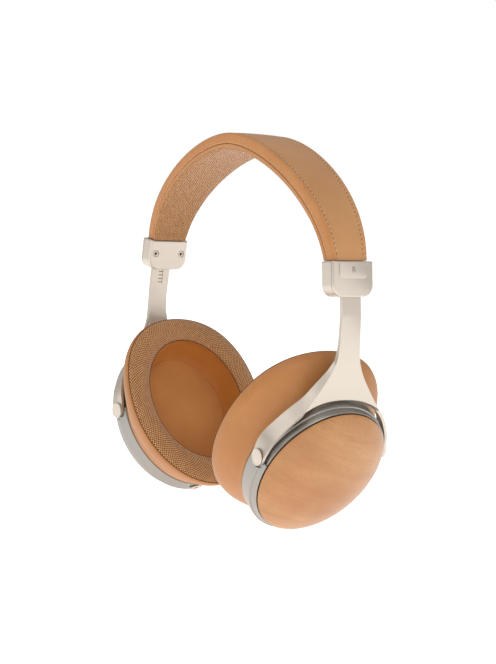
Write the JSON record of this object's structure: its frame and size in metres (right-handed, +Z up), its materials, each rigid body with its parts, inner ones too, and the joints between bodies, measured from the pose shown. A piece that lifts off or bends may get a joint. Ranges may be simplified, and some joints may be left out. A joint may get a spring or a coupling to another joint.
{
  "type": "over-ear headphones",
  "caption": "Over-ear headphones with a leather headband, metal yokes on sliding arms, and round wood-backed cups with thick tan ear pads that tilt on pivot pins.",
  "frame": {"origin": "the middle of the headband's underside at the crown, where the wearer's head touches it", "axes": "+Z up, +X towards the wearer's right, +Y the way the wearer faces; the left half mirrors the right one in the plane X = 0"},
  "size_m": [0.1796, 0.087, 0.1934],
  "materials": {
    "tan_leather": "smooth caramel leather, soft sheen, stitched edges on the headband",
    "woven_cloth": "coarse two-tone woven fabric, matte",
    "champagne_metal": "champagne satin anodised",
    "housing_metal": "warm grey satin, faintly brushed around the ring",
    "wood": "honey-coloured beech or maple, satin lacquer",
    "spring_steel": "plain steel",
    "foam": "dark open foam or felt",
    "black_plastic": "moulded, matte",
    "screen_cloth": "smooth tan cloth",
    "film": "thin formed film",
    "brass": "turned, bright"
  },
  "bodies": {
    "headband": {"headband_cover": "tan_leather", "headband_core": "foam", "spring_band": "spring_steel", "headband_foam": "foam", "headband_lining": "woven_cloth", "right_block_outer": "champagne_metal", "right_block_inner": "champagne_metal", "right_block_screw_1": "spring_steel", "right_block_screw_2": "spring_steel", "right_detent_spring": "spring_steel", "left_block_outer": "champagne_metal", "left_block_inner": "champagne_metal", "left_block_screw_1": "spring_steel", "left_block_screw_2": "spring_steel", "left_detent_spring": "spring_steel"},
    "right_yoke": {"right_yoke": "champagne_metal", "right_pivot_pin_front": "champagne_metal", "right_pivot_pin_rear": "champagne_metal"},
    "left_yoke": {"left_yoke": "champagne_metal", "left_pivot_pin_front": "champagne_metal", "left_pivot_pin_rear": "champagne_metal"},
    "right_cup": {"right_pivot_bush_front": "black_plastic", "right_pivot_bush_rear": "black_plastic", "right_housing": "housing_metal", "right_wood_cup": "wood", "right_driver_frame": "black_plastic", "right_driver_magnet": "spring_steel", "right_diaphragm": "film", "right_driver_grille": "black_plastic", "right_baffle": "black_plastic", "right_baffle_screw_1": "spring_steel", "right_baffle_screw_2": "spring_steel", "right_baffle_screw_3": "spring_steel", "right_ear_pad": "tan_leather", "right_pad_ring": "black_plastic", "right_dust_screen": "screen_cloth", "right_jack_socket": "brass", "right_lead_wire": "black_plastic", "right_damping_felt": "foam"},
    "left_cup": {"left_pivot_bush_front": "black_plastic", "left_pivot_bush_rear": "black_plastic", "left_housing": "housing_metal", "left_wood_cup": "wood", "left_driver_frame": "black_plastic", "left_driver_magnet": "spring_steel", "left_diaphragm": "film", "left_driver_grille": "black_plastic", "left_baffle": "black_plastic", "left_baffle_screw_1": "spring_steel", "left_baffle_screw_2": "spring_steel", "left_baffle_screw_3": "spring_steel", "left_ear_pad": "tan_leather", "left_pad_ring": "black_plastic", "left_dust_screen": "screen_cloth", "left_jack_socket": "brass", "left_lead_wire": "black_plastic", "left_damping_felt": "foam"}
  },
  "joints": [
    {"name": "right_extension", "type": "slide", "parent": "headband", "child": "right_yoke", "axis": [0.1219, 0, -0.9925], "range_m": [-0.007, 0.0065]},
    {"name": "right_cup_tilt", "type": "hinge", "parent": "right_yoke", "child": "right_cup", "pos_m": [0.0677, 0.001, -0.1426], "axis": [0.0698, 0.9976, 0], "range_deg": [-36, 3]},
    {"name": "left_extension", "type": "slide", "parent": "headband", "child": "left_yoke", "axis": [-0.1219, 0, -0.9925], "range_m": [-0.007, 0.0065]},
    {"name": "left_cup_tilt", "type": "hinge", "parent": "left_yoke", "child": "left_cup", "pos_m": [-0.0677, 0.001, -0.1426], "axis": [0.0698, -0.9976, 0], "range_deg": [-36, 3]}
  ]
}
